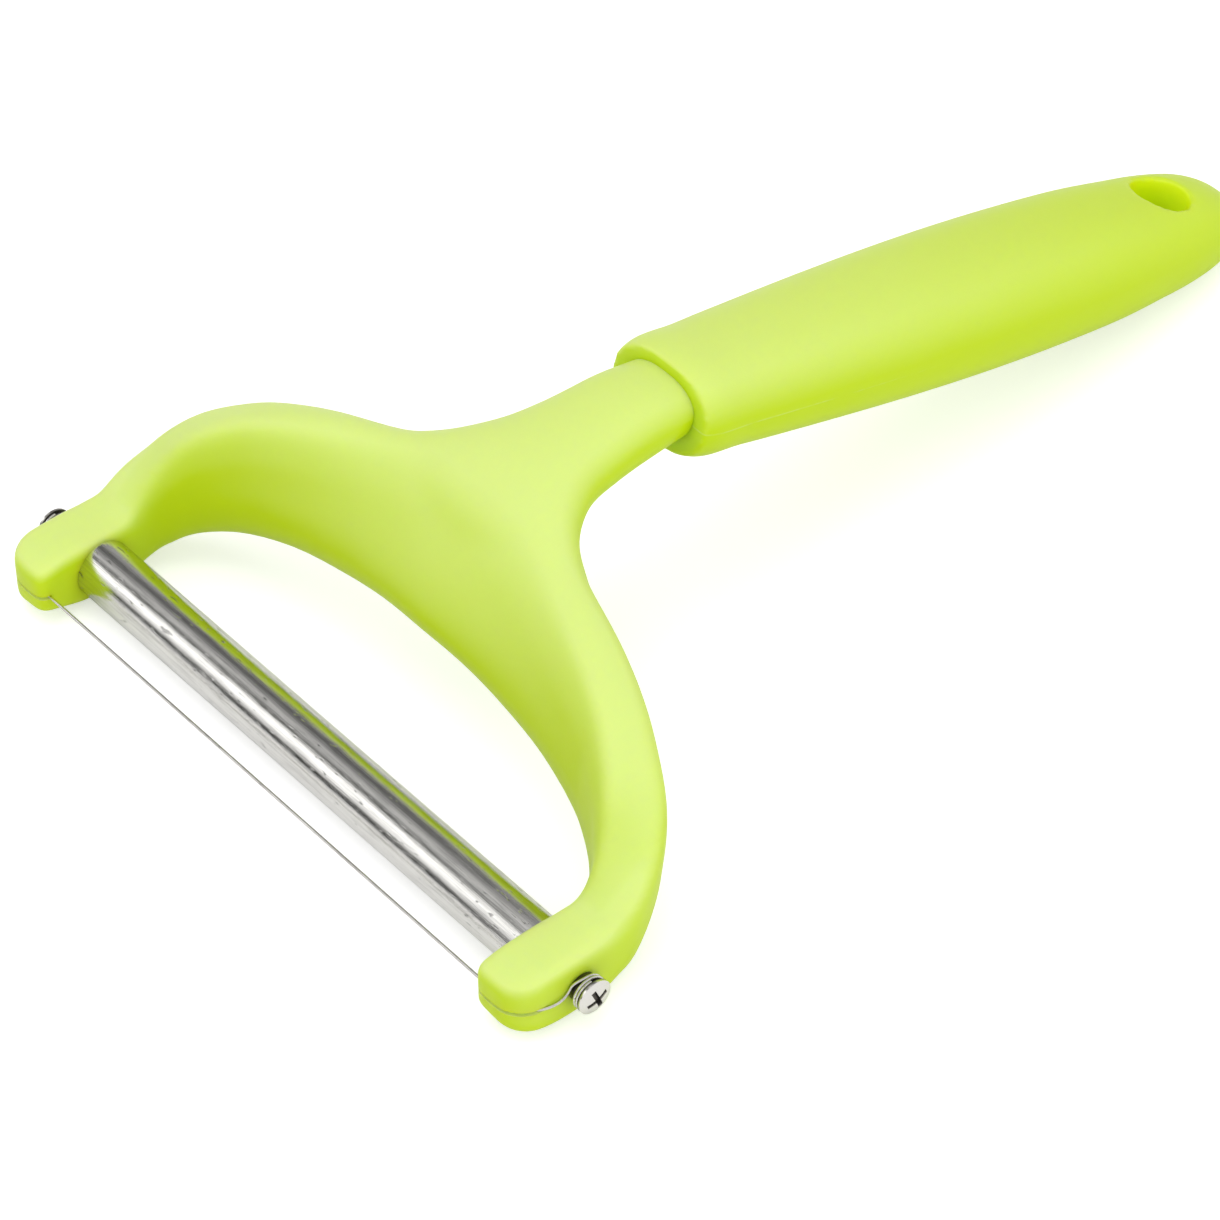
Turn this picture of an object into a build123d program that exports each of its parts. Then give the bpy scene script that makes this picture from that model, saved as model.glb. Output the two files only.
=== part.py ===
"""Cheese slicer with a wire and a roller: a cranked Y head, an oval handle and a steel roller."""
from build123d import *
import math
import os

# Driving sizes, in millimetres

# Roller and what carries it
roller_radius = 5.0
roller_wall = 0.5
axis_height = 6.5
seat_depth = 0.8
seat_clearance = 0.35
end_float = 0.35
plug_length = 8.0
plug_lip = 0.4
journal_radius = 1.4
journal_length = 6.0
running_clearance = 0.05
fit_clearance = 0.02
tip_gap = 0.6

# Screws
thread_radius = 1.75
neck_radius = 1.9
screw_head_radius = 3.0
screw_rim = 0.5
screw_dome = 0.8
recess_length = 3.6
recess_width = 0.75
recess_depth = 0.9
recess_turn = 20.0
under_head_gap = 0.1

# Cutting wire
wire_radius = 0.25
winding_pitch = 1.25
winding_half_turns = 3
wire_forward = 10.3
slit_clearance = 0.1
face_clearance = 0.12

# Arms and tips
arm_inner_x = 53.3
arm_width = 10.3
arm_height = 12.0
tip_forward = 12.2
tip_outer_round = 5.2
tip_inner_extra = 0.1
edge_round = 1.6
arm_back = 6.0

# Bow of the head
bow_depth = 31.7
bow_rise = 22.9

# Neck, collar and handle
collar_back = 70.4
collar_rise = 30.24
handle_tilt = 14.0
neck_half_width = 8.1
neck_half_height = 5.4
tang_length = 45.0
tang_end_share = 0.6
handle_length = 131.6
handle_half_width = 13.6
handle_half_height = 10.5
oval_square_share = 2.4
hole_from_end = 18.2
hole_radius = 5.3
sleeve_fit = 0.1
overrun = 1.0

# Sections laid between two stations of each table
bow_between = 3
neck_between = 2
handle_between = 2

# Stations from the end of the arm to the middle of the bow. Each row: place across, place back
# from the arm's end and place up, as shares of arm_centre, of bow_depth less arm_back and of
# bow_rise; width and height, as shares of arm_width and arm_height; the lean in degrees; and
# how square the section is.
bow_shares = (
    (1.000, 0.000, 0.000, 0.985, 0.985, 0.0, 5.0),
    (0.998, 0.128, 0.072, 0.97, 1.16, -4.0, 5.0),
    (0.980, 0.260, 0.177, 0.97, 1.30, -6.0, 4.6),
    (0.918, 0.454, 0.371, 1.05, 1.62, -6.0, 4.0),
    (0.788, 0.637, 0.569, 1.06, 1.85, -8.0, 3.4),
    (0.573, 0.809, 0.746, 1.12, 2.00, -15.0, 2.9),
    (0.360, 0.914, 0.840, 1.13, 2.14, -24.0, 2.5),
    (0.175, 0.980, 0.930, 1.15, 2.32, -32.0, 2.35),
    (0.000, 1.005, 0.960, 1.16, 2.42, -36.0, 2.3),
)

# Neck stations. Each row: place back and up between the middle of the bow and the collar,
# and half width and half height as shares of the neck's at the collar.
neck_shares = (
    (0.00, 0.05, 3.52, 0.97),
    (0.12, 0.62, 2.86, 1.22),
    (0.24, 0.92, 1.91, 1.24),
    (0.40, 1.08, 1.35, 1.12),
    (0.62, 1.12, 1.12, 1.04),
    (0.81, 1.13, 1.05, 1.03),
    (1.00, 1.00, 1.00, 1.00),
)

# Handle stations. Each row: place along the handle, and half width and half height,
# as shares of the handle's length and of its largest half width and half height.
handle_shares = (
    (0.000, 0.800, 0.700),
    (0.012, 0.838, 0.750),
    (0.070, 0.862, 0.795),
    (0.140, 0.895, 0.845),
    (0.210, 0.926, 0.888),
    (0.360, 0.975, 0.970),
    (0.510, 1.000, 1.000),
    (0.660, 0.978, 0.976),
    (0.740, 0.943, 0.942),
    (0.820, 0.868, 0.866),
    (0.900, 0.766, 0.763),
    (0.950, 0.640, 0.620),
    (0.980, 0.460, 0.440),
    (0.995, 0.250, 0.230),
    (1.000, 0.120, 0.110),
)

# Sizes worked out from the driving ones
arm_centre = arm_inner_x + arm_width / 2
arm_outer_x = arm_inner_x + arm_width
roller_half = arm_inner_x + seat_depth - end_float
slit_height = 2 * (wire_radius + slit_clearance)
wire_x = arm_outer_x + face_clearance + wire_radius
slit_turn = wire_x - arm_centre
winding_radius = neck_radius + wire_radius + fit_clearance
winding_length = winding_half_turns * winding_pitch / 2
head_underside = wire_x + winding_length + wire_radius + under_head_gap
roller_axis = Vector(0, 0, axis_height)
handle_way = Vector(0, math.cos(math.radians(handle_tilt)), -math.sin(math.radians(handle_tilt)))
collar_point = roller_axis + Vector(0, collar_back, collar_rise)


def oval(plane, half_width, half_height, squareness=oval_square_share, points=8, fitted=False):
    """A closed oval face, squarer than an ellipse, of an upper and a lower edge, whose end pulls
    are exact or fitted by the spline."""
    marks = list(range(points + 1))
    pull = half_height * math.pi / points
    edges = []
    for side in (1, -1):
        outline = []
        for step in marks:
            angle = math.pi * step / points
            across, up = side * math.cos(angle), side * math.sin(angle)
            reach = (abs(across) ** squareness + abs(up) ** squareness) ** (-1 / squareness)
            outline.append(Vector(half_width * reach * across, half_height * reach * up))
        ways = [Vector(0, side * pull), Vector(0, -side * pull)]
        edges.append(Edge.make_spline(outline, tangents=ways, parameters=marks, scale=fitted))
    return plane * Face(Wire(edges))


def bar(centre, tangent, width, height, lean, squareness):
    """A section across the bow, its local X pointing away from the hole and turned by the lean."""
    turn = math.radians(lean)
    outward = tangent.cross(Vector(0, 0, 1)) * math.cos(turn) + Vector(0, 0, math.sin(turn))
    plane = Plane(origin=centre, x_dir=outward, z_dir=-tangent)
    return oval(plane, width / 2, height / 2, squareness, fitted=True)


def filled(rows, between):
    """The rows with more between them, on a smooth curve through them all."""
    places = [0.0]
    for start, end in zip(rows, rows[1:]):
        places.append(places[-1] + math.dist(start[:4], end[:4]))
    steps = [end - start for start, end in zip(places, places[1:])]
    rates = []
    for start, end, step in zip(rows, rows[1:], steps):
        rates.append([(b - a) / step for a, b in zip(start, end)])
    slopes = [rates[0]]
    for index in range(1, len(steps)):
        ahead, behind = steps[index], steps[index - 1]
        pairs = zip(rates[index - 1], rates[index])
        slopes.append([(a * ahead + b * behind) / (ahead + behind) for a, b in pairs])
    slopes.append(rates[-1])
    result = []
    for index, step in enumerate(steps):
        for part in range(between):
            t = part / between
            lead = step * t * (1 - t) ** 2
            tail = -step * t ** 2 * (1 - t)
            mix = t ** 2 * (3 - 2 * t)
            ends = zip(rows[index], rows[index + 1], slopes[index], slopes[index + 1])
            result.append(tuple(a + (b - a) * mix + lead * c + tail * d for a, b, c, d in ends))
    return result + [rows[-1]]


def bow_sections():
    """Sections of the right half of the bow, from the arm's end to just past the middle."""
    right = []
    for across, back, up, width, height, lean, squareness in bow_shares:
        y = arm_back + back * (bow_depth - arm_back)
        place = (across * arm_centre, y, axis_height + up * bow_rise)
        right.append((*place, width * arm_width, height * arm_height, lean, squareness))
    past_middle = (-right[-2][0], *right[-2][1:])
    rows = filled(right + [past_middle], bow_between)
    sections = []
    for index in range(len(rows) - 1):
        x, y, z, width, height, lean, squareness = rows[index]
        before, after = rows[max(index - 1, 0)], rows[index + 1]
        tangent = Vector(after[0] - before[0], after[1] - before[1], 0)
        if index == 0:
            tangent = Vector(0, 1, 0)
        sections.append(bar(Vector(x, y, z), tangent.normalized(), width, height, lean, squareness))
    return sections


def neck_sections():
    """Sections of the neck, from inside the bow to the collar."""
    middle = roller_axis + Vector(0, bow_depth, bow_rise)
    span = collar_point - middle
    rows = []
    for back, up, width, height in neck_shares:
        centre = middle + Vector(0, back * span.Y, up * span.Z)
        rows.append((0.0, centre.Y, centre.Z, width * neck_half_width, height * neck_half_height))
    rows = filled(rows, neck_between)
    sections = []
    for index, (x, y, z, half_width, half_height) in enumerate(rows):
        before = rows[max(index - 1, 0)]
        after = rows[min(index + 1, len(rows) - 1)]
        way = Vector(0, after[1] - before[1], after[2] - before[2]).normalized()
        if index == len(rows) - 1:
            way = handle_way
        plane = Plane(origin=(x, y, z), x_dir=(1, 0, 0), z_dir=way)
        sections.append(oval(plane, half_width, half_height))
    return sections


def across_handle(along):
    """The plane across the handle at a distance from the collar."""
    return Plane(origin=collar_point + handle_way * along, x_dir=(1, 0, 0), z_dir=handle_way)


def tang(clearance, length):
    """The tang that the handle is pushed on to, or its socket when given a clearance."""
    wide, high = neck_half_width, neck_half_height
    root = oval(across_handle(0), wide + clearance, high + clearance)
    wide, high = wide * tang_end_share, high * tang_end_share
    tip = oval(across_handle(length), wide + clearance, high + clearance)
    return loft([root, tip])


def along_x(radius, start, end):
    """A cylinder about the roller's axis between two places on X."""
    plane = Plane(origin=(start, 0, axis_height), z_dir=(1, 0, 0))
    return extrude(plane * Circle(radius), end - start)


def mirrored(shape):
    return mirror(shape, about=Plane.YZ)


def slit():
    """The slit round the right tip that the wire is pressed into."""
    seat_forward = wire_forward - wire_radius
    reach = arm_width + 2 * overrun
    slab = Pos(arm_inner_x - overrun, -tip_forward - overrun, axis_height) * Box(
        reach, tip_forward + overrun - (wire_forward - slit_turn), slit_height,
        align=(Align.MIN, Align.MIN, Align.CENTER))
    kept = Pos(arm_inner_x - 2 * overrun, -seat_forward, axis_height) * Box(
        arm_centre - arm_inner_x + 2 * overrun, seat_forward, slit_height,
        align=(Align.MIN, Align.MIN, Align.CENTER))
    corner = Pos(arm_centre, -(wire_forward - slit_turn), axis_height) * Cylinder(
        slit_turn - wire_radius, slit_height)
    return slab - kept - corner


def arm():
    """The right arm and its rounded tip, with the roller's seat, the screw's hole and the slit."""
    body = Pos(arm_centre, arm_back, axis_height) * Box(
        arm_width, arm_back + tip_forward, arm_height, align=(Align.CENTER, Align.MAX, Align.CENTER))
    inner, outer = body.edges().filter_by(Axis.Z).group_by(Axis.Y)[0].sort_by(Axis.X)
    body = fillet(outer, tip_outer_round)
    inner = body.edges().filter_by(Axis.Z).group_by(Axis.Y)[0].sort_by(Axis.X)[0]
    body = fillet(inner, edge_round + tip_inner_extra)
    faces = body.faces().sort_by(Axis.Z)
    end_edges = body.faces().sort_by(Axis.Y)[-1].edges()
    rims = [edge for edge in faces[0].edges() + faces[-1].edges() if edge not in end_edges]
    body = fillet(rims, edge_round)
    seat_floor = arm_inner_x + seat_depth
    body = body - along_x(roller_radius + seat_clearance, arm_inner_x - overrun, seat_floor)
    body = body - along_x(thread_radius + fit_clearance, seat_floor - overrun, arm_outer_x + overrun)
    return body - slit()


def head_frame():
    """The moulded head: bow, arms, tips, neck and tang in one piece."""
    half = split(loft(bow_sections()), bisect_by=Plane.YZ, keep=Keep.TOP)
    right = half + arm()
    return right + mirrored(right) + loft(neck_sections()) + tang(0, tang_length)


def handle():
    """The handle, a closed sleeve over the tang with a hanging hole through its end."""
    rows = []
    for along, width, height in handle_shares:
        rows.append((along * handle_length, width * handle_half_width, height * handle_half_height))
    sections = []
    for along, width, height in filled(rows, handle_between):
        sections.append(oval(across_handle(along), width, height))
    body = loft(sections) - tang(sleeve_fit, tang_length + tip_gap)
    centre = collar_point + handle_way * (handle_length - hole_from_end)
    hole = Plane(origin=centre, x_dir=(1, 0, 0), z_dir=handle_way.cross(Vector(-1, 0, 0)))
    return body - hole * Cylinder(hole_radius, 4 * handle_half_height)


def roller_tube():
    body = along_x(roller_radius, -roller_half, roller_half)
    return body - along_x(roller_radius - roller_wall, -roller_half - overrun, roller_half + overrun)


def roller_plug():
    """The right end plug, pressed into the tube and turning on the screw's plain tip."""
    outer_end = roller_half - plug_lip
    inner_end = outer_end - plug_length
    body = along_x(roller_radius - roller_wall, inner_end, outer_end)
    return body - along_x(journal_radius + running_clearance, inner_end - overrun, outer_end + overrun)


def pivot_screw():
    """The right screw: domed head, plain neck for the winding, thread and plain tip."""
    seat_floor = arm_inner_x + seat_depth
    rim_end = head_underside + screw_rim
    dome_radius = (screw_head_radius ** 2 + screw_dome ** 2) / (2 * screw_dome)
    dome_centre = rim_end + screw_dome - dome_radius
    half_angle = math.asin(screw_head_radius / dome_radius) / 2
    steps = (
        (rim_end + screw_dome, 0),
        (seat_floor - journal_length, 0),
        (seat_floor - journal_length, journal_radius),
        (seat_floor, journal_radius),
        (seat_floor, thread_radius),
        (arm_outer_x, thread_radius),
        (arm_outer_x, neck_radius),
        (head_underside, neck_radius),
        (head_underside, screw_head_radius),
        (rim_end, screw_head_radius),
    )
    corners = [Vector(along, out, axis_height) for along, out in steps]
    middle_along = dome_centre + dome_radius * math.cos(half_angle)
    middle = Vector(middle_along, dome_radius * math.sin(half_angle), axis_height)
    dome = ThreePointArc(corners[-1], middle, corners[0])
    profile = Face(Wire([*Polyline(*corners).edges(), dome.edge()]))
    body = revolve(profile, axis=Axis(roller_axis, (1, 0, 0)))
    bar_across = Box(2 * recess_depth, recess_length, recess_width)
    bar_up = Box(2 * recess_depth, recess_width, recess_length)
    top = Pos(rim_end + screw_dome, 0, axis_height)
    return body - top * Rot(recess_turn, 0, 0) * (bar_across + bar_up)


def wire_half():
    """Edges of the right half of the wire: span, slit, lead and winding."""
    corner_y = -(wire_forward - slit_turn)
    bend = math.sqrt(0.5)
    span_end = Vector(arm_centre, -wire_forward, axis_height)
    slit_middle = Vector(arm_centre + slit_turn * bend, corner_y - slit_turn * bend, axis_height)
    slit_end = Vector(wire_x, corner_y, axis_height)
    edges = [ThreePointArc(span_end, slit_middle, slit_end)]
    rise = winding_radius
    lead_radius = (corner_y ** 2 + rise ** 2) / (4 * rise)
    half_angle = math.asin(-corner_y / 2 / lead_radius) / 2
    along, up = lead_radius * math.sin(half_angle), lead_radius * (1 - math.cos(half_angle))
    lead_middle = Vector(wire_x, corner_y / 2, axis_height + rise / 2)
    top = Vector(wire_x, 0, axis_height + rise)
    edges.append(ThreePointArc(slit_end, slit_end + Vector(0, along, up), lead_middle))
    edges.append(ThreePointArc(lead_middle, top - Vector(0, along, up), top))
    start = top
    for half in range(winding_half_turns):
        turn = 1 if half % 2 == 0 else -1
        end = Vector(start.X + winding_pitch / 2, 0, axis_height - turn * rise)
        middle = (start + end) / 2
        bulge = (end - start).length / 2
        edges.append(ThreePointArc(start, middle + Vector(0, turn * bulge, 0), end))
        start = end
    return edges


def cutting_wire():
    """One unbroken wire, wound on both screws and taut between the tips."""
    right = wire_half()
    left = [edge.mirror(Plane.YZ) for edge in right]
    span_end = Vector(arm_centre, -wire_forward, axis_height)
    span = Line(Vector(-span_end.X, span_end.Y, span_end.Z), span_end)
    path = Wire(left[::-1] + [span] + right)
    start = path @ 0
    profile = Plane(origin=start, z_dir=path % 0) * Circle(wire_radius)
    return sweep(profile, path=path), right


def least_gap(edges):
    """The smallest clear distance from one stretch of the winding to another."""
    points = []
    travelled = 0.0
    for edge in edges:
        steps = max(int(edge.length / wire_radius * 2), 2)
        for step in range(steps):
            points.append((travelled + edge.length * step / steps, edge @ (step / steps)))
        travelled += edge.length
    apart = math.pi * winding_radius
    gaps = [(a - b).length for i, (s, a) in enumerate(points) for t, b in points[i:] if t - s > apart]
    return min(gaps) - 2 * wire_radius


os.makedirs("parts", exist_ok=True)
wire, wound_edges = cutting_wire()
print("least gap of the wire to itself, mm:", round(least_gap(wound_edges), 3))
nodes = {
    "head_frame": head_frame(),
    "handle": handle(),
    "roller_tube": roller_tube(),
    "roller_plug_right": roller_plug(),
    "roller_plug_left": mirrored(roller_plug()),
    "pivot_screw_right": pivot_screw(),
    "pivot_screw_left": mirrored(pivot_screw()),
    "cutting_wire": wire,
}
boxes = [node.bounding_box() for node in nodes.values()]
front = min(box.min.Y for box in boxes)
back = max(box.max.Y for box in boxes)
ground = Pos(0, -(front + back) / 2, -min(box.min.Z for box in boxes))
row_axis = (ground * Pos(roller_axis)).position
print("roller axis in the row frame, mm:", [round(value, 4) for value in row_axis])
for name, node in nodes.items():
    shape = ground * node
    solids = shape.solids()
    print(name, "solids", len(solids), "volume", round(shape.volume, 1), "valid", shape.is_valid)
    export_step(shape, f"parts/{name}.step")
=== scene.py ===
"""Looks of the cheese slicer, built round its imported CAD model.

Laid out as an add-on and run as a script.
"""
import math

import bmesh
import bpy
from bpy.props import FloatProperty, FloatVectorProperty, IntProperty, PointerProperty
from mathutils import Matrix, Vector


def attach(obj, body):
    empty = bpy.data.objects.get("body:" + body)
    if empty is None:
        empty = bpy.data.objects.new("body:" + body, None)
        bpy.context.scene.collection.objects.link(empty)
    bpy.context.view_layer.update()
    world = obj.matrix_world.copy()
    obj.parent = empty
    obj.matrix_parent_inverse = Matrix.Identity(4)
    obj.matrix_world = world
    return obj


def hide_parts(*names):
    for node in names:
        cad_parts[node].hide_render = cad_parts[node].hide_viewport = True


bl_info = {
    "name": "Cheese Slicer",
    "version": (1, 0, 0),
    "blender": (4, 5, 0),
    "location": "View3D > Sidebar > Slicer",
    "description": "Builds the finished pieces of a wire cheese slicer round its CAD model",
    "category": "Object",
}

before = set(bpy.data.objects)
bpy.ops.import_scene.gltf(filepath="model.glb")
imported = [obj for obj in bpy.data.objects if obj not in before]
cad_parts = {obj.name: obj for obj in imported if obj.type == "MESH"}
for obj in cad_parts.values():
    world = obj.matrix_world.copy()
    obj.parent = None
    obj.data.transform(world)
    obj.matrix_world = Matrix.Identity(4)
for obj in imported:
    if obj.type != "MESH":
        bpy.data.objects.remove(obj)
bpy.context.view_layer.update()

MM = 0.001
SIDES = (1, -1)
ALONG_X = (0, math.pi / 2, 0)

# Roller, its tube and its seats in the arms
ROLLER_AXIS = Vector((0, -93.0852, 6.4091)) * MM
ROLLER_RADIUS = 5.0 * MM
ROLLER_WALL = 0.5 * MM
ROLLER_HALF = 53.75 * MM
ROLLER_EDGE = 0.12 * MM
SEAT_RADIUS = 4.99 * MM
SEAT_FLOOR = 54.1 * MM

# Arms and tips
ARM_INNER = 53.3 * MM
ARM_CENTRE = 58.45 * MM
ARM_OUTER = 63.6 * MM
ARM_BACK = 6.0 * MM
TIP_FORWARD = 12.2 * MM
CHIN_LIFT = 2.3 * MM
BROW_DROP = 0.7 * MM
TIP_ROUNDS = 24
ARM_JOIN_ROUNDS = 34

# Wire, its slits and its windings
WIRE_RADIUS = 0.26 * MM
WIRE_FORWARD = 10.3 * MM
WIRE_X = 63.97 * MM
WIRE_BEND = WIRE_X - ARM_CENTRE
WIRE_STEPS = 24
SLIT_HEIGHT = 0.7 * MM
WINDING_RADIUS = 2.70 * MM
WINDING_STEP = 0.28 * MM
WINDING_HALF_TURNS = 4
LEAD_OUT = 0.78 * MM

# Screws, with the ball that their domes are cut from
SCREW_NECK = 2.43 * MM
SCREW_THREAD = 1.75 * MM
SCREW_JOURNAL = 1.4 * MM
SCREW_TIP = 48.1 * MM
SCREW_UNDER_HEAD = 66.195 * MM
SCREW_HEAD_RADIUS = 3.0 * MM
SCREW_RIM = 0.5 * MM
SCREW_DOME = 0.76 * MM
SCREW_BALL = (SCREW_HEAD_RADIUS ** 2 + SCREW_DOME ** 2) / (2 * SCREW_DOME)
SCREW_EDGE = 0.07 * MM
DOME_SHARES = (0.97, 0.9, 0.78, 0.62, 0.42, 0.2)
CROSS_HALF = Vector((1.15, 1.90, 0.42)) * MM
CROSS_TURN = 20

# Neck, and the collar where it runs into the handle
COLLAR_BACK = 70.4 * MM
COLLAR = ROLLER_AXIS + Vector((0, COLLAR_BACK, 30.24 * MM))
NECK_SLOPE = 0.4
NECK_ROOT_BACK = 37 * MM
NECK_ROOT_ROUNDS = 60
FLANK_INSET = 1.3 * MM

# Handle, its mouth round the neck and its hole
HANDLE_TILT = math.radians(14)
HANDLE_WAY = Vector((0, math.cos(HANDLE_TILT), -math.sin(HANDLE_TILT)))
HANDLE_UP = Vector((0, math.sin(HANDLE_TILT), math.cos(HANDLE_TILT)))
MOUTH_AHEAD = 1.0 * MM
MOUTH_DEPTH = 1.6 * MM
MOUTH_HALF_WIDTH = 9.2 * MM
MOUTH_HALF_HEIGHT = 6.6 * MM
LIP_ROUNDS = 4
HOLE_ALONG = 113.4 * MM
HOLE_RADIUS = 5.3 * MM
HOLE_ROUNDS = 8

# How far a cutter reaches past what it cuts
BEYOND = 2 * MM

# Patterns of the finishes, in cells per metre, along X, Y and Z where they are stretched
CLOUDS = 60
MOULD_WAVES = 240
MOULD_GRAIN = 2600
RUBBED_LINES = (500, 90, 500)
STEEL_PATCHES = (40, 300, 300)
STEEL_NICKS = (450, 1500, 1500)
STEEL_STREAKS = (90, 3600, 3600)
STEEL_SMEARS = (140, 900, 900)
STEEL_WAVES = (160, 260, 260)
TOOL_MARKS = 1800

# How much of the painted sheen each piece keeps along Y, from 125 mm in front to 125 mm behind. The
# sheen is a paler colour that stands in for the overhead light's reflection
HEAD_PAINTED_SHEEN = ((0.28, 1), (0.42, 0.80))
HANDLE_PAINTED_SHEEN = ((0.42, 0.80), (0.92, 0.12))

# Floor, lamps and surround
FLOOR_SIZE = 6
FLOOR_SHADE = (0.78, 0.78, 0.78)
FLOOR_SEEN = 0.50
FLOOR_MIRRORED = 0.15
KEY_SIZE = 1.0
KEY_PLACE = Vector((-0.25, -0.15, 1.1))
SIDE_SIZE = 0.8
SIDE_PLACE = Vector((1.0, -0.05, 0.45))
PLAIN_SKY = 0.8

# Degrees about the roller's axis, and how bright the surround is there
SKY_BANDS = (
    (0, 0.50), (45, 0.36), (57, 0.13), (66, 0.13), (80, 0.36), (96, 0.68), (103, 0.52),
    (112, 0.13), (117, 0.13), (124, 0.95), (129, 1.6), (144, 1.6), (153, 1.10), (163, 0.60),
    (168, 0.05), (180, 0.02))


class SlicerPlastic(bpy.types.PropertyGroup):
    """The moulded plastic of the head and the handle."""

    lime: FloatVectorProperty(
        name="Lime", description="Colour of the plastic", subtype="COLOR", size=3,
        default=(0.560, 0.740, 0.004), min=0, max=1)
    # Colour of the painted sheen: a paler colour on the faces that look up, standing in for the
    # overhead light's reflection
    painted_sheen: FloatVectorProperty(
        name="Painted sheen", description="Paler colour of the faces that look up", subtype="COLOR", size=3,
        default=(0.675, 0.815, 0.235), min=0, max=1)
    plug: FloatVectorProperty(
        name="Plug", description="Colour of the roller's end plugs", subtype="COLOR", size=3,
        default=(0.60, 0.60, 0.57), min=0, max=1)
    gloss: FloatProperty(
        name="Roughness", description="Roughness of the satin skin", subtype="FACTOR",
        default=0.36, min=0, max=1)
    voxel: FloatProperty(
        name="Skin cell", description="Size of the cells that the head and handle are laid in",
        subtype="DISTANCE", unit="LENGTH", default=0.5 * MM, min=0.2 * MM, max=2 * MM)
    smoothing: IntProperty(
        name="Smoothing", description="Rounds of smoothing over the head", default=8, min=0, max=60)


class SlicerSteel(bpy.types.PropertyGroup):
    """The steel of the roller, screws and wire."""

    roller: FloatVectorProperty(
        name="Roller", description="Colour of the roller's steel", subtype="COLOR", size=3,
        default=(0.74, 0.73, 0.70), min=0, max=1)
    screw: FloatVectorProperty(
        name="Screw", description="Colour of the plated screws", subtype="COLOR", size=3,
        default=(0.78, 0.76, 0.72), min=0, max=1)
    # Colour of the painted shade in the screws' cross, standing in for the shade in the recess
    cross_shade: FloatVectorProperty(
        name="Cross shade", description="Colour of the screws' plating in the cross", subtype="COLOR",
        size=3, default=(0.12, 0.11, 0.10), min=0, max=1)
    wire: FloatVectorProperty(
        name="Wire", description="Colour of the cutting wire", subtype="COLOR", size=3,
        default=(0.74, 0.72, 0.69), min=0, max=1)
    scratch: FloatProperty(
        name="Scratch width", description="Distance between the fine lengthwise scratches",
        subtype="DISTANCE", unit="LENGTH", default=0.12 * MM, min=0.01 * MM, max=2 * MM)


class SlicerStage(bpy.types.PropertyGroup):
    """The camera and the strength of the lights."""

    camera_place: FloatVectorProperty(
        name="Camera place", description="Where the camera stands", subtype="TRANSLATION", size=3,
        default=(0.4462720, -0.4113272, 0.5702240))
    camera_turn: FloatVectorProperty(
        name="Camera turn", description="Turn of the camera about X, Y and Z", subtype="EULER",
        size=3, default=(0.7961769, 0.0071459, 0.8605386))
    lens: FloatProperty(
        name="Lens", description="Focal length on a 36 mm sensor", default=151.308,
        min=10, max=500)
    sky: FloatProperty(
        name="Sky", description="Strength of the studio's soft surround", default=1.0,
        min=0, max=4)
    key: FloatProperty(
        name="Key", description="Power of the soft overhead lamp", unit="POWER", default=5.0,
        min=0, max=100)
    side: FloatProperty(
        name="Side", description="Power of the soft lamp at the right side", unit="POWER",
        default=2.5, min=0, max=100)


class Sum:
    """A number of a material, whose sums are Math nodes."""

    def __init__(self, nodes, socket):
        self.nodes = nodes
        self.socket = socket

    def made(self, operation, first, second):
        """The number that a Math node makes of two others."""
        node = self.nodes.node("ShaderNodeMath", {"operation": operation}, {0: first, 1: second})
        return Sum(self.nodes, node.outputs[0])

    def __add__(self, other):
        return self.made("ADD", self, other)

    def __radd__(self, other):
        return self.made("ADD", other, self)

    def __sub__(self, other):
        return self.made("SUBTRACT", self, other)

    def __rsub__(self, other):
        return self.made("SUBTRACT", other, self)

    def __mul__(self, other):
        return self.made("MULTIPLY", self, other)

    def __rmul__(self, other):
        return self.made("MULTIPLY", other, self)

    def __truediv__(self, other):
        return self.made("DIVIDE", self, other)

    def __rtruediv__(self, other):
        return self.made("DIVIDE", other, self)


class Nodes:
    """The nodes of one tree."""

    def __init__(self, tree):
        self.tree = tree

    def node(self, kind, settings=None, sockets=None):
        """A node of a type, with its settings and then the values or links of its sockets."""
        made = self.tree.nodes.new(kind)
        for name, value in (settings or {}).items():
            if name == "stops":
                elements = made.color_ramp.elements
                for _ in range(len(value) - len(elements)):
                    elements.new(0.5)
                for element, (place, colour) in zip(elements, value):
                    element.position = place
                    element.color = colour
            else:
                setattr(made, name, value)
        for name, value in (sockets or {}).items():
            self.feed(made.inputs[name], value)
        return made

    def feed(self, target, value):
        """Links a socket or a sum to a socket, or sets its value."""
        if isinstance(value, Sum):
            value = value.socket
        if isinstance(value, bpy.types.NodeSocket):
            self.tree.links.new(value, target)
            return
        plain = target.default_value
        if hasattr(plain, "__len__") and len(plain) == 4 and len(value) == 3:
            value = (*value, 1)
        target.default_value = value

    def ramp(self, value, stops):
        """A number spread over the stops of a ramp."""
        stops = [(place, (shade, shade, shade, 1)) for place, shade in stops]
        made = self.node("ShaderNodeValToRGB", {"stops": stops}, {0: value})
        return Sum(self, made.outputs[0])

    def part(self, vector, axis):
        """One part of a vector."""
        return Sum(self, self.node("ShaderNodeSeparateXYZ", {}, {0: vector}).outputs[axis])

    def measured(self, operation, first, second):
        """The number that a Vector Math node makes of two vectors."""
        made = self.node(
            "ShaderNodeVectorMath", {"operation": operation}, {0: first, 1: second})
        return Sum(self, made.outputs["Value"])


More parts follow.
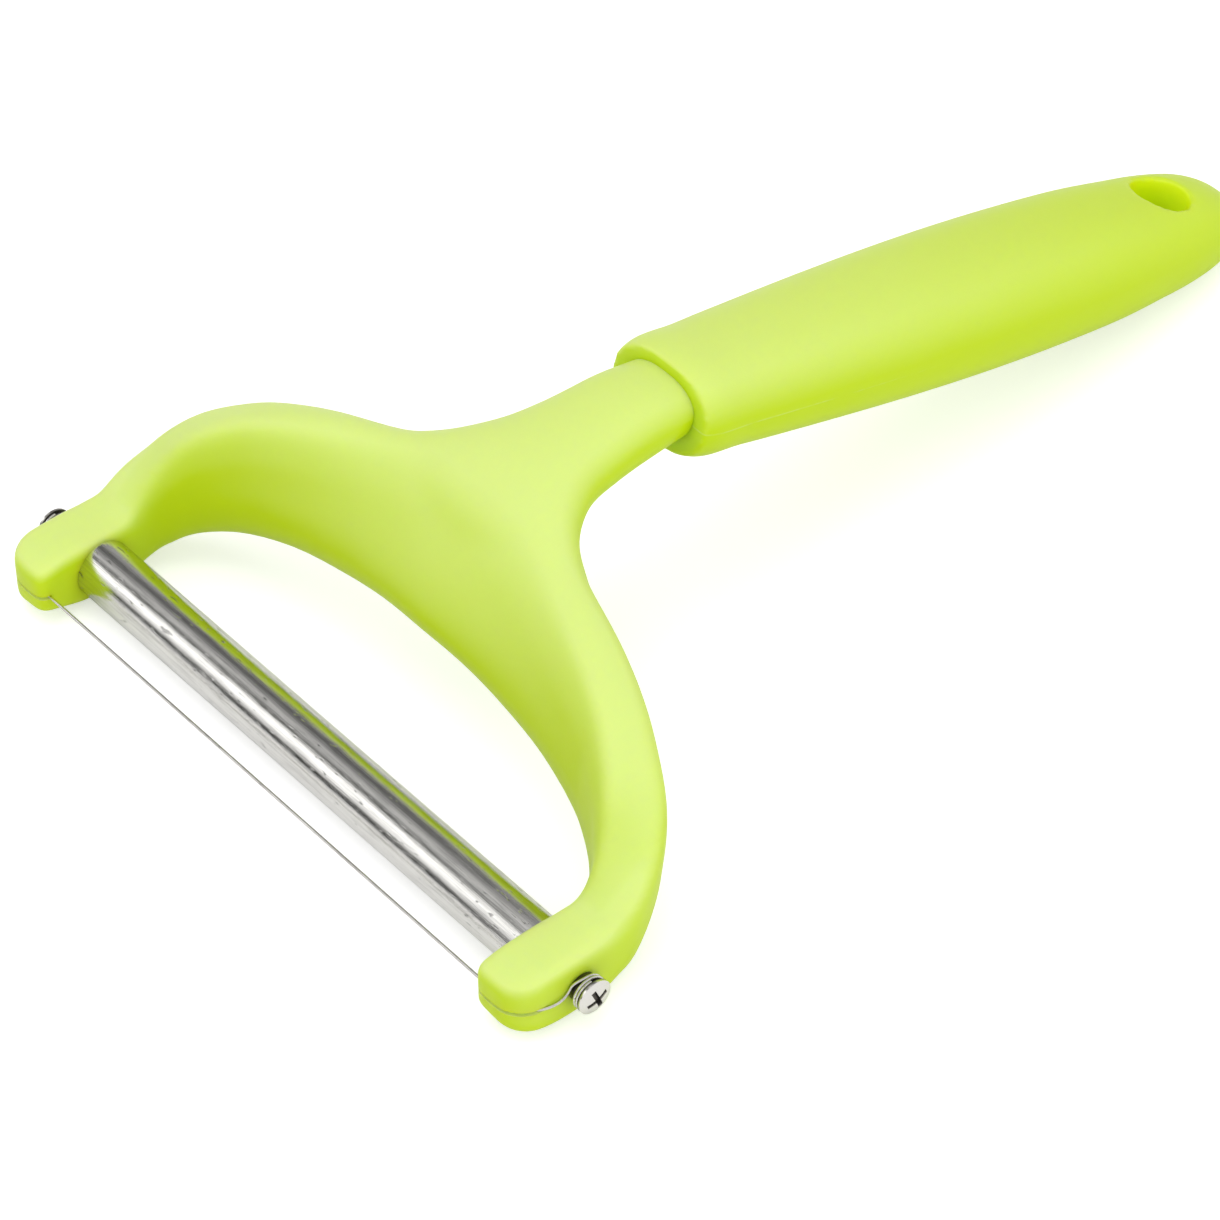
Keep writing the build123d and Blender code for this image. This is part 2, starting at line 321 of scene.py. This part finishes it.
class Finish(Nodes):
    """One material and the nodes that are laid in it."""

    def __init__(self, name):
        self.material = bpy.data.materials.new(name)
        self.material.use_nodes = True
        super().__init__(self.material.node_tree)
        self.shader = self.tree.nodes["Principled BSDF"]

    def set(self, **sockets):
        """Feeds the shader's sockets, named with underscores for spaces."""
        for name, value in sockets.items():
            self.feed(self.shader.inputs[name.replace("_", " ")], value)

    def place(self):
        """The place on the piece, in metres."""
        return self.node("ShaderNodeTexCoord").outputs["Object"]

    def stretched(self, scale, turn=(0, 0, 0)):
        """The place on the piece, turned and scaled along each axis."""
        sockets = {"Vector": self.place(), "Scale": scale, "Rotation": turn}
        return self.node("ShaderNodeMapping", {}, sockets).outputs[0]

    def noise(self, place, scale, detail=2.0, roughness=0.5):
        """Noise from 0 to 1 at a scale."""
        sockets = {"Vector": place, "Scale": scale, "Detail": detail, "Roughness": roughness}
        return Sum(self, self.node("ShaderNodeTexNoise", {}, sockets).outputs[0])

    def mix(self, share, first, second):
        """One colour mixed with another by a share."""
        sockets = {0: share, 6: first, 7: second}
        return self.node("ShaderNodeMix", {"data_type": "RGBA"}, sockets).outputs[2]

    def bump(self, height, strength, distance):
        """Normals raised by a height from 0 to 1 over a distance."""
        sockets = {"Height": height, "Strength": strength, "Distance": distance}
        return self.node("ShaderNodeBump", {}, sockets).outputs[0]


def moulded_plastic(name, colour, painted_sheen_colour, gloss, sheen_kept=((0, 1), (1, 1)), marks=0.0):
    """Satin moulded plastic with faint clouds, a fine skin and rubbed hairlines, and a painted
    sheen on the faces that look up: a paler colour that stands in for the overhead light's
    reflection.
    Marks of 1 add the handle's parting line, painted paler along it as a highlight, and a painted
    glow in its hole: a paler colour that stands in for the light there."""
    finish = Finish(name)
    place = finish.place()
    across = finish.part(place, "X")
    clouds = finish.noise(place, CLOUDS, 3)
    skin = finish.noise(place, MOULD_GRAIN, 2)
    waves = finish.noise(place, MOULD_WAVES, 2)

    # The tips' outer faces, which get more of the painted sheen: the ramp runs from 59 to 62 mm off
    # the middle
    outer = finish.ramp(200 * across * across, ((0.69, 0), (0.78, 1)))
    # Painted sheen: faces that look up, and the tips' outer faces, are painted paler where the
    # overhead light would be reflected
    normal = finish.node("ShaderNodeNewGeometry").outputs["Normal"]
    up = finish.part(normal, "Z") + 0.10 * clouds + 0.22 * outer
    along = finish.ramp(4 * finish.part(place, "Y") + 0.5, sheen_kept)
    painted_sheen = finish.ramp(up, ((0.16, 0), (0.92, 1))) * along

    # Painted glow: the hole's wall is painted 1.5 times paler, standing in for the light inside it
    ahead = finish.measured("DOT_PRODUCT", place, HANDLE_WAY)
    ahead = ahead - (COLLAR.dot(HANDLE_WAY) + HOLE_ALONG)
    apart = (across * across + ahead * ahead) / HOLE_RADIUS ** 2
    hole = finish.ramp(apart / 2, ((0.48, 1), (0.54, 0)))
    hole_glow_colour = finish.mix(hole * marks, colour, tuple(min(1.5 * value, 1) for value in colour))

    # Parting line: a real ridge by its bump, and painted paler along it as a highlight
    above = finish.measured("DOT_PRODUCT", place, HANDLE_UP)
    above = (above - COLLAR.dot(HANDLE_UP)) / MM
    seam = finish.ramp(above * above, ((0.004, 1), (0.03, 0)))
    seam = seam * finish.ramp(waves, ((0.40, 0), (0.55, 1)))
    seam = seam * finish.ramp(ahead / HOLE_ALONG + 1, ((0.20, marks), (0.45, 0)))

    rubbed = finish.noise(finish.stretched(RUBBED_LINES, (0, 0, 0.5)), 1, 4, 0.6)
    hairs = finish.ramp(rubbed, ((0.60, 0), (0.72, 1)))
    # The base colour carries the painted sheen, the painted highlight on the parting line and the
    # painted glow in the hole
    finish.set(
        Base_Color=finish.mix(painted_sheen + 0.35 * seam, hole_glow_colour, painted_sheen_colour),
        Roughness=gloss + 0.05 * waves + 0.05 * hairs,
        Subsurface_Weight=0.45, Subsurface_Radius=(0.8, 1.0, 0.05), Subsurface_Scale=0.005,
        Normal=finish.bump(skin + 1.5 * waves + 4 * seam, 0.12, 0.12 * MM),
        Specular_IOR_Level=0.24)
    return finish.material


def brushed_steel(name, colour, scratch, roughness):
    """Bright steel with fine scratches along X, smears and a few small nicks."""
    finish = Finish(name)
    per_metre = 1 / scratch
    lines = finish.noise(finish.stretched((per_metre / 60, per_metre, per_metre)), 1, 3, 0.6)
    patches = finish.noise(finish.stretched(STEEL_PATCHES), 1, 3)
    nicks = finish.ramp(
        finish.noise(finish.stretched(STEEL_NICKS), 1, 2), ((0.66, 0), (0.72, 1)))
    streaks = finish.noise(finish.stretched(STEEL_STREAKS), 1, 4, 0.7)
    smears = finish.ramp(
        finish.noise(finish.stretched(STEEL_SMEARS, (0, 0, 0.2)), 1, 3), ((0.52, 0), (0.68, 1)))
    waves = finish.noise(finish.stretched(STEEL_WAVES), 1, 1)
    brushed = finish.ramp(streaks, ((0.46, 0), (0.62, 1)))
    dull = 0.6 * nicks + 0.40 * brushed * patches + 0.35 * smears * streaks
    finish.set(
        Base_Color=finish.mix(dull, colour, tuple(0.35 * value for value in colour)),
        Metallic=1.0,
        Roughness=roughness + 0.10 * lines * patches + 0.15 * nicks,
        Normal=finish.bump(lines + 0.8 * streaks + 4 * waves - 2 * nicks, 0.7, 0.02 * MM))
    return finish.material


def plated_screw(name, colour, cross_shade):
    """Bright plating with tool marks, painted dark below the dome, as in the cross, where the
    colour stands in for the shade in the recess.
    """
    finish = Finish(name)
    mirrored = finish.node(
        "ShaderNodeVectorMath", {"operation": "ABSOLUTE"}, {0: finish.place()}).outputs[0]
    dome_top = SCREW_UNDER_HEAD + SCREW_RIM + SCREW_DOME
    middle = ROLLER_AXIS + Vector((dome_top - SCREW_BALL, 0, 0))
    apart = finish.measured("DISTANCE", mirrored, tuple(abs(value) for value in middle))
    depth = (SCREW_BALL - apart) / MM
    marks = finish.noise(finish.place(), TOOL_MARKS, 3)
    # Painted shade: below the dome, in the cross, the plating darkens to the shade colour
    dark = finish.ramp(depth + 0.2 * marks, ((0.22, 0), (0.5, 1)))
    finish.set(
        Base_Color=finish.mix(dark, colour, cross_shade),
        Metallic=1.0,
        Roughness=0.16 + 0.2 * dark + 0.06 * marks,
        Normal=finish.bump(marks, 0.3, 0.02 * MM))
    return finish.material


def only(piece):
    """Selects one object and nothing else."""
    bpy.ops.object.select_all(action="DESELECT")
    piece.select_set(True)
    bpy.context.view_layer.objects.active = piece


def applied(piece, kind, **settings):
    """Adds a modifier and applies it."""
    only(piece)
    modifier = piece.modifiers.new(kind.title(), kind)
    for name, value in settings.items():
        setattr(modifier, name, value)
    bpy.ops.object.modifier_apply(modifier=modifier.name)


def copied(node, name):
    """A copy of a CAD node as a piece of its own, with its loose triangles merged."""
    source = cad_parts[node]
    piece = bpy.data.objects.new(name, source.data.copy())
    bpy.context.collection.objects.link(piece)
    piece.data.materials.clear()
    only(piece)
    bpy.ops.object.mode_set(mode="EDIT")
    bpy.ops.mesh.select_all(action="SELECT")
    bpy.ops.mesh.remove_doubles(threshold=0.001 * MM)
    bpy.ops.mesh.customdata_custom_splitnormals_clear()
    bpy.ops.object.mode_set(mode="OBJECT")
    return piece


def settle(piece, material, body, slot, *nodes):
    """Gives a piece its material and its body, and hides the CAD nodes that it replaces. The slot
    is not used.
    """
    piece.data.materials.clear()
    piece.data.materials.append(material)
    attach(piece, body)
    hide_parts(*nodes)


def dressed(node, material):
    """Gives a CAD node a better material."""
    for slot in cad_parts[node].material_slots:
        slot.material = material


def joined(piece, *others):
    """Joins other objects into a piece."""
    only(piece)
    for other in others:
        other.select_set(True)
    bpy.ops.object.join()


def box(low, high):
    """A block between two corners, for cutting."""
    bpy.ops.object.select_all(action="DESELECT")
    low, high = Vector(low), Vector(high)
    bpy.ops.mesh.primitive_cube_add(size=1, location=(low + high) / 2, scale=high - low)
    bpy.ops.object.transform_apply(location=True, rotation=False, scale=True)
    return bpy.context.active_object


def rod(centre, radius, depth, turn=(0, 0, 0), sides=96):
    """A round bar, for cutting or as the start of a screw."""
    bpy.ops.object.select_all(action="DESELECT")
    bpy.ops.mesh.primitive_cylinder_add(
        vertices=sides, radius=radius, depth=depth, location=centre, rotation=turn)
    bpy.ops.object.transform_apply(location=True, rotation=True, scale=True)
    return bpy.context.active_object


def cut(piece, *cutters):
    """Cuts shapes out of a piece and throws them away."""
    for cutter in cutters:
        applied(piece, "BOOLEAN", object=cutter, operation="DIFFERENCE", solver="EXACT")
        bpy.data.objects.remove(cutter)


def weighted(piece, kind, weight_at, **settings):
    """Applies a modifier where a weight taken from each vertex's place is above zero."""
    group = piece.vertex_groups.new(name="share")
    for vertex in piece.data.vertices:
        weight = weight_at(vertex.co)
        if weight > 0:
            group.add([vertex.index], min(weight, 1), "REPLACE")
    applied(piece, kind, vertex_group="share", **settings)
    piece.vertex_groups.remove(piece.vertex_groups["share"])


def softened(piece, weight_at, rounds):
    """Smooths a piece by a weight."""
    weighted(piece, "SMOOTH", weight_at, factor=0.5, iterations=rounds)


def pushed(piece, weight_at, direction, distance):
    """Moves a piece's surface along an axis by a distance times a weight."""
    weighted(piece, "DISPLACE", weight_at, direction=direction, strength=distance, mid_level=0)


def smooth_shaded(piece, degrees):
    """Shades a piece smooth, but for its edges over an angle."""
    only(piece)
    bpy.ops.object.shade_smooth_by_angle(angle=math.radians(degrees))


def faded(value, start, end):
    """A smooth step from 0 at the start to 1 at the end."""
    share = min(max((value - start) / (end - start), 0), 1)
    return share * share * (3 - 2 * share)


class SLICER_OT_head(bpy.types.Operator):
    """Build the moulded head with its soft joins"""

    bl_idname = "slicer.head"
    bl_label = "Head"

    def execute(self, context):
        plastic = context.scene.slicer_plastic
        head = copied("head_frame", "head")
        joined(head, *(self.block(head, side) for side in SIDES))
        applied(head, "REMESH", mode="VOXEL", voxel_size=plastic.voxel)
        applied(head, "SMOOTH", factor=0.5, iterations=plastic.smoothing)
        pushed(head, self.chin, "Z", CHIN_LIFT)
        pushed(head, self.brow, "Z", -BROW_DROP)
        for side in SIDES:
            pushed(head, lambda place: self.neck_flank(place, side), "X", -side * FLANK_INSET)
        softened(head, self.tips, TIP_ROUNDS)
        softened(head, self.arm_joins, ARM_JOIN_ROUNDS)
        softened(head, self.neck_root, NECK_ROOT_ROUNDS)
        for side in SIDES:
            cut(head, *self.hollows(side))
        smooth_shaded(head, 40)
        lime = moulded_plastic(
            "lime_head", tuple(plastic.lime), tuple(plastic.painted_sheen), plastic.gloss, HEAD_PAINTED_SHEEN)
        settle(head, lime, "frame", "head_plastic", "head_frame")
        return {"FINISHED"}

    def chin(self, place):
        """The tips' undersides, more and more towards the front."""
        outer = 1 - 0.45 * faded(abs(place.x), ARM_CENTRE - 3 * MM, ARM_OUTER - 1 * MM)
        front = faded(ROLLER_AXIS.y - place.y, 2 * MM, 12 * MM)
        low = 1 - faded(place.z, 0.5 * MM, 6.4 * MM)
        return outer * front * low

    def brow(self, place):
        """The tips' top edges at the front."""
        front = faded(ROLLER_AXIS.y - place.y, 6 * MM, 12 * MM)
        return front * faded(place.z, 7 * MM, 12 * MM)

    def neck_flank(self, place, side):
        """The lower half of the neck's one flank, from the bow to the collar."""
        ahead = place.y - ROLLER_AXIS.y
        along = faded(ahead, 36 * MM, 46 * MM) * (1 - 0.5 * faded(ahead, 50 * MM, 68 * MM))
        along = along * (1 - faded(ahead, 71 * MM, 73 * MM))
        outward = side * place.x
        across = faded(outward, 2 * MM, 7 * MM) * (1 - faded(outward, 13 * MM, 22 * MM))
        middle = COLLAR.z + NECK_SLOPE * (ahead - COLLAR_BACK)
        return along * across * (1 - faded(place.z - middle, -3 * MM, 2 * MM))

    def tips(self, place):
        """Both arms' ends."""
        return 1 - faded(place.y - ROLLER_AXIS.y, ARM_BACK, ARM_BACK + 6 * MM)

    def arm_joins(self, place):
        """Where the arms' ends run into the bow."""
        return 1 - faded(abs(place.y - ROLLER_AXIS.y - ARM_BACK), 2 * MM, 7 * MM)

    def neck_root(self, place):
        """Where the neck runs into the bow."""
        apart = abs(place.y - ROLLER_AXIS.y - NECK_ROOT_BACK)
        return (1 - faded(apart, 10 * MM, 18 * MM)) * (1 - faded(abs(place.x), 26 * MM, 42 * MM))

    def block(self, head, side):
        """The arm's end with its hollows filled, as the hull of its outside."""
        block = bpy.data.objects.new("block", head.data.copy())
        bpy.context.collection.objects.link(block)
        only(block)
        bpy.ops.object.mode_set(mode="EDIT")
        mesh = bmesh.from_edit_mesh(block.data)
        back = ROLLER_AXIS.y + ARM_BACK - 0.2 * MM
        away = [corner for corner in mesh.verts if corner.co.y > back or corner.co.x * side < 0]
        bmesh.ops.delete(mesh, geom=away, context="VERTS")
        bmesh.update_edit_mesh(block.data)
        bpy.ops.mesh.select_all(action="SELECT")
        bpy.ops.mesh.convex_hull()
        bpy.ops.object.mode_set(mode="OBJECT")
        return block

    def hollows(self, side):
        """The roller's seat and the slit for the wire, of one arm."""
        axis, start, half = ROLLER_AXIS, ARM_INNER - BEYOND, SLIT_HEIGHT / 2
        seat = rod(
            axis + Vector((side * (start + SEAT_FLOOR) / 2, 0, 0)), SEAT_RADIUS,
            SEAT_FLOOR - start, ALONG_X)
        corner = axis + Vector((side * ARM_CENTRE, WIRE_BEND - WIRE_FORWARD, 0))
        left, right = sorted((side * start, side * (ARM_OUTER + BEYOND)))
        slit = box(
            (left, axis.y - TIP_FORWARD - BEYOND, axis.z - half), (right, corner.y, axis.z + half))
        left, right = sorted((side * (start - BEYOND), side * ARM_CENTRE))
        cut(slit, box(
            (left, axis.y - WIRE_FORWARD + WIRE_RADIUS, axis.z - 2 * half),
            (right, axis.y, axis.z + 2 * half)))
        cut(slit, rod(corner, WIRE_BEND - WIRE_RADIUS, 4 * half))
        return seat, slit


class SLICER_OT_handle(bpy.types.Operator):
    """Build the sleeve handle with its rounded lip"""

    bl_idname = "slicer.handle"
    bl_label = "Handle"

    def execute(self, context):
        plastic = context.scene.slicer_plastic
        handle = copied("handle", "handle_sleeve")
        joined(handle, self.mouth())
        applied(handle, "REMESH", mode="VOXEL", voxel_size=plastic.voxel)
        softened(handle, self.lip, LIP_ROUNDS)
        softened(handle, self.hole_edge, HOLE_ROUNDS)
        smooth_shaded(handle, 60)
        lime = moulded_plastic(
            "lime_handle", tuple(plastic.lime), tuple(plastic.painted_sheen), plastic.gloss,
            HANDLE_PAINTED_SHEEN, 1.0)
        settle(handle, lime, "frame", "handle_plastic", "handle")
        return {"FINISHED"}

    def mouth(self):
        """The oval disc that closes the sleeve's mouth round the neck."""
        bpy.ops.object.select_all(action="DESELECT")
        bpy.ops.mesh.primitive_cylinder_add(
            vertices=96, radius=1, depth=MOUTH_DEPTH, location=COLLAR + HANDLE_WAY * MOUTH_AHEAD,
            rotation=HANDLE_WAY.to_track_quat("Z", "Y").to_euler())
        mouth = bpy.context.active_object
        mouth.scale = (MOUTH_HALF_WIDTH, MOUTH_HALF_HEIGHT, 1)
        bpy.ops.object.transform_apply(location=True, rotation=True, scale=True)
        return mouth

    def lip(self, place):
        """The whole sleeve, less so at its lip."""
        return 0.3 + 0.7 * faded((place - COLLAR).dot(HANDLE_WAY), 1 * MM, 3 * MM)

    def hole_edge(self, place):
        """The wall and the two edges of the hole."""
        ahead = (place - COLLAR).dot(HANDLE_WAY) - HOLE_ALONG
        return 1 - faded(abs(math.hypot(place.x, ahead) - HOLE_RADIUS), 1 * MM, 2.5 * MM)


class SLICER_OT_roller(bpy.types.Operator):
    """Build the roller's tube and dress its end plugs"""

    bl_idname = "slicer.roller"
    bl_label = "Roller"

    def execute(self, context):
        steel = context.scene.slicer_steel
        bpy.ops.object.select_all(action="DESELECT")
        bpy.ops.mesh.primitive_cylinder_add(
            vertices=192, radius=ROLLER_RADIUS, depth=2 * ROLLER_HALF, end_fill_type="NOTHING",
            location=ROLLER_AXIS, rotation=ALONG_X)
        tube = context.active_object
        tube.name = "roller"
        bpy.ops.object.transform_apply(location=True, rotation=True, scale=True)
        applied(tube, "SOLIDIFY", thickness=ROLLER_WALL, offset=-1)
        applied(
            tube, "BEVEL", width=ROLLER_EDGE, segments=3, limit_method="ANGLE",
            angle_limit=math.radians(60))
        smooth_shaded(tube, 30)
        bright = brushed_steel("roller_steel_bright", tuple(steel.roller), steel.scratch, 0.10)
        settle(tube, bright, "roller", "roller_steel", "roller_tube")
        plastic = context.scene.slicer_plastic
        plug = moulded_plastic("plug_grey", tuple(plastic.plug), tuple(plastic.plug), plastic.gloss)
        dressed("roller_plug_right", plug)
        dressed("roller_plug_left", plug)
        return {"FINISHED"}


class SLICER_OT_screws(bpy.types.Operator):
    """Build the two pivot screws"""

    bl_idname = "slicer.screws"
    bl_label = "Screws"

    def execute(self, context):
        steel = context.scene.slicer_steel
        plated = plated_screw("screw_plated", tuple(steel.screw), tuple(steel.cross_shade))
        right = self.screw()
        left = bpy.data.objects.new("screw_left", right.data.copy())
        context.collection.objects.link(left)
        only(left)
        bpy.ops.transform.mirror(
            constraint_axis=(True, False, False), center_override=(0, 0, 0))
        bpy.ops.object.transform_apply(location=True, rotation=True, scale=True)
        bpy.ops.object.mode_set(mode="EDIT")
        bpy.ops.mesh.select_all(action="SELECT")
        bpy.ops.mesh.normals_make_consistent(inside=False)
        bpy.ops.object.mode_set(mode="OBJECT")
        for side, screw in (("right", right), ("left", left)):
            smooth_shaded(screw, 35)
            settle(screw, plated, "frame", "screw_steel", "pivot_screw_" + side)
        return {"FINISHED"}

    def screw(self):
        """The right screw: head, neck for the winding, thread, plain tip and cross."""
        rim = SCREW_UNDER_HEAD + SCREW_RIM
        middle = ROLLER_AXIS + Vector(((SCREW_UNDER_HEAD + rim) / 2, 0, 0))
        screw = rod(middle, SCREW_HEAD_RADIUS, SCREW_RIM, ALONG_X, 64)
        screw.name = "screw_right"
        shank = (
            (SCREW_NECK, SCREW_UNDER_HEAD - ARM_OUTER), (SCREW_THREAD, ARM_OUTER - SEAT_FLOOR),
            (SCREW_JOURNAL, SEAT_FLOOR - SCREW_TIP))
        radius, end = SCREW_HEAD_RADIUS, SCREW_UNDER_HEAD
        for narrower, length in shank:
            self.stepped(screw, end, radius - narrower, -length)
            radius, end = narrower, end - length
        radius, height = SCREW_HEAD_RADIUS, 0
        for share in DOME_SHARES:
            narrower = SCREW_HEAD_RADIUS * share
            rise = math.sqrt(SCREW_BALL ** 2 - narrower ** 2) - SCREW_BALL + SCREW_DOME
            self.stepped(screw, rim + height, radius - narrower, rise - height, sloped=True)
            radius, height = narrower, rise
        top = ROLLER_AXIS + Vector((rim + SCREW_DOME, 0, 0))
        for quarter in (0, 1):
            arm = box(top - CROSS_HALF, top + CROSS_HALF)
            only(arm)
            turn = math.radians(CROSS_TURN + 90 * quarter)
            bpy.ops.transform.rotate(value=-turn, orient_axis="X", center_override=top)
            bpy.ops.object.transform_apply(location=True, rotation=True, scale=True)
            cut(screw, arm)
        applied(
            screw, "BEVEL", width=SCREW_EDGE, segments=2, limit_method="ANGLE",
            angle_limit=math.radians(40))
        return screw

    def stepped(self, screw, along, inset, length, sloped=False):
        """Insets the end face at a place along the screw and draws it out by a length."""
        only(screw)
        bpy.ops.object.mode_set(mode="EDIT")
        bpy.ops.mesh.select_mode(type="FACE")
        bpy.ops.mesh.select_all(action="DESELECT")
        mesh = bmesh.from_edit_mesh(screw.data)
        for face in mesh.faces:
            near = abs(face.calc_center_median().x - along) < 0.001 * MM
            face.select_set(len(face.verts) > 8 and near)
        bmesh.update_edit_mesh(screw.data)
        bpy.ops.mesh.inset(thickness=inset, depth=0)
        if sloped:
            bpy.ops.transform.translate(value=(length, 0, 0))
        else:
            bpy.ops.mesh.extrude_region_move(TRANSFORM_OT_translate={"value": (length, 0, 0)})
        bpy.ops.object.mode_set(mode="OBJECT")


class SLICER_OT_wire(bpy.types.Operator):
    """Build the cutting wire and its windings"""

    bl_idname = "slicer.wire"
    bl_label = "Wire"

    def execute(self, context):
        steel = context.scene.slicer_steel
        right = self.half_path()
        left = [Vector((-place.x, place.y, place.z)) for place in right]
        path = left[::-1] + right
        curve = bpy.data.curves.new("wire", "CURVE")
        curve.dimensions = "3D"
        curve.bevel_depth = WIRE_RADIUS
        curve.bevel_resolution = 3
        curve.use_fill_caps = True
        spline = curve.splines.new("POLY")
        spline.points.add(len(path) - 1)
        for point, place in zip(spline.points, path):
            point.co = (*place, 1)
        wire = bpy.data.objects.new("wire", curve)
        context.collection.objects.link(wire)
        only(wire)
        bpy.ops.object.convert(target="MESH")
        smooth_shaded(wire, 50)
        bright = brushed_steel("wire_bright", tuple(steel.wire), steel.scratch, 0.2)
        settle(wire, bright, "frame", "wire_steel", "cutting_wire")
        return {"FINISHED"}

    def half_path(self):
        """The middle line of the right half of the wire: the slit, the lead and the winding."""
        steps = WIRE_STEPS
        corner = WIRE_BEND - WIRE_FORWARD
        places = []
        for step in range(steps + 1):
            angle = math.pi / 2 * step / steps
            across = ARM_CENTRE + WIRE_BEND * math.sin(angle)
            places.append((across, corner - WIRE_BEND * math.cos(angle), 0))
        rise = WINDING_RADIUS
        bend = (corner ** 2 + rise ** 2) / (4 * rise)
        reach = math.asin(-corner / 2 / bend)
        for step in range(1, steps + 1):
            angle = reach * step / steps
            places.append(
                (WIRE_X, corner + bend * math.sin(angle), bend * (1 - math.cos(angle))))
        for step in range(steps - 1, -1, -1):
            angle = reach * step / steps
            out = LEAD_OUT * faded(steps - step, 0, steps)
            places.append(
                (WIRE_X + out, -bend * math.sin(angle), rise - bend * (1 - math.cos(angle))))
        for step in range(1, WINDING_HALF_TURNS * steps + 1):
            angle = math.pi * step / steps
            along = WIRE_X + LEAD_OUT + WINDING_STEP * step / steps
            places.append((along, rise * math.sin(angle), rise * math.cos(angle)))
        return [ROLLER_AXIS + Vector(place) for place in places]


class SLICER_OT_stage(bpy.types.Operator):
    """Set up the camera, the pale floor and the soft studio light"""

    bl_idname = "slicer.stage"
    bl_label = "Stage"

    def execute(self, context):
        stage = context.scene.slicer_stage
        camera_data = bpy.data.cameras.new("camera")
        camera_data.lens = stage.lens
        camera_data.sensor_width = 36
        camera_data.clip_end = 20
        camera = bpy.data.objects.new("camera", camera_data)
        camera.location = stage.camera_place
        camera.rotation_euler = stage.camera_turn
        context.collection.objects.link(camera)
        context.scene.camera = camera

        bpy.ops.object.select_all(action="DESELECT")
        bpy.ops.mesh.primitive_plane_add(size=FLOOR_SIZE, location=(0, 0, 0))
        floor = context.active_object
        floor.name = "floor"
        floor.data.materials.append(self.floor_white())

        self.sky(context.scene, stage.sky)
        self.lamp("key", stage.key, KEY_SIZE, KEY_PLACE)
        self.lamp("side", stage.side, SIDE_SIZE, SIDE_PLACE)
        context.scene.view_settings.view_transform = "Standard"
        return {"FINISHED"}

    def floor_white(self):
        """A pale floor that looks white to the camera and a little paler in the steel."""
        finish = Finish("floor_white")
        finish.set(Base_Color=FLOOR_SHADE, Roughness=0.8, Specular_IOR_Level=0.2)
        path = finish.node("ShaderNodeLightPath")
        glow = finish.node("ShaderNodeEmission", {}, {"Color": (1, 1, 1, 1)})
        seen = FLOOR_SEEN * Sum(finish, path.outputs["Is Camera Ray"])
        mirrored = FLOOR_MIRRORED * Sum(finish, path.outputs["Is Glossy Ray"])
        finish.feed(glow.inputs["Strength"], seen + mirrored)
        both = finish.node(
            "ShaderNodeAddShader", {}, {0: finish.shader.outputs[0], 1: glow.outputs[0]})
        finish.feed(finish.tree.nodes["Material Output"].inputs["Surface"], both.outputs[0])
        return finish.material

    def lamp(self, name, energy, size, place):
        """A soft square lamp that faces the slicer's middle and isn't mirrored in the steel."""
        light = bpy.data.lights.new(name, "AREA")
        light.size = size
        light.energy = energy
        lamp = bpy.data.objects.new(name, light)
        lamp.location = place
        lamp.rotation_euler = place.to_track_quat("Z", "Y").to_euler()
        lamp.visible_glossy = False
        bpy.context.collection.objects.link(lamp)

    def sky(self, scene, strength):
        """A soft surround in bands about the roller's axis, plain white to the camera."""
        world = bpy.data.worlds.new("studio")
        scene.world = world
        world.use_nodes = True
        sky = Nodes(world.node_tree)
        way = sky.node("ShaderNodeTexCoord").outputs["Generated"]
        upward = sky.part(way, "Z")
        turn = upward.made("ARCTAN2", upward, sky.part(way, "Y"))
        banded = sky.ramp(turn / math.pi, [(angle / 180, level) for angle, level in SKY_BANDS])
        plain = sky.ramp(sky.part(way, "X") + 0.5, ((0.10, 0), (0.45, 1)))
        ground = sky.tree.nodes["Background"]
        sky.feed(ground.inputs["Color"], banded * (1 - plain) + PLAIN_SKY * plain)
        sky.feed(ground.inputs["Strength"], strength)
        white = sky.node("ShaderNodeBackground", {}, {"Color": (1, 1, 1, 1)})
        seen = sky.node("ShaderNodeLightPath").outputs["Is Camera Ray"]
        pick = sky.node(
            "ShaderNodeMixShader", {}, {0: seen, 1: ground.outputs[0], 2: white.outputs[0]})
        sky.feed(sky.tree.nodes["World Output"].inputs["Surface"], pick.outputs[0])


class SLICER_PT_panel(bpy.types.Panel):
    """Lists the slicer's sizes, colours and pieces"""

    bl_idname = "SLICER_PT_panel"
    bl_label = "Cheese slicer"
    bl_space_type = "VIEW_3D"
    bl_region_type = "UI"
    bl_category = "Slicer"

    def draw(self, context):
        scene = context.scene
        for group in (scene.slicer_plastic, scene.slicer_steel, scene.slicer_stage):
            column = self.layout.box()
            for name in group.bl_rna.properties.keys():
                if name not in ("rna_type", "name"):
                    column.prop(group, name)
        for operator in OPERATORS:
            self.layout.operator(operator.bl_idname)


GROUPS = {
    "slicer_plastic": SlicerPlastic, "slicer_steel": SlicerSteel, "slicer_stage": SlicerStage}
OPERATORS = (
    SLICER_OT_head, SLICER_OT_handle, SLICER_OT_roller, SLICER_OT_screws, SLICER_OT_wire,
    SLICER_OT_stage)


def register():
    for name, group in GROUPS.items():
        bpy.utils.register_class(group)
        setattr(bpy.types.Scene, name, PointerProperty(type=group))
    for operator in OPERATORS:
        bpy.utils.register_class(operator)
    bpy.utils.register_class(SLICER_PT_panel)


def unregister():
    bpy.utils.unregister_class(SLICER_PT_panel)
    for operator in reversed(OPERATORS):
        bpy.utils.unregister_class(operator)
    for name, group in reversed(GROUPS.items()):
        delattr(bpy.types.Scene, name)
        bpy.utils.unregister_class(group)


def main():
    register()
    bpy.ops.slicer.head()
    bpy.ops.slicer.handle()
    bpy.ops.slicer.roller()
    bpy.ops.slicer.screws()
    bpy.ops.slicer.wire()
    bpy.ops.slicer.stage()


if __name__ == "__main__":
    main()
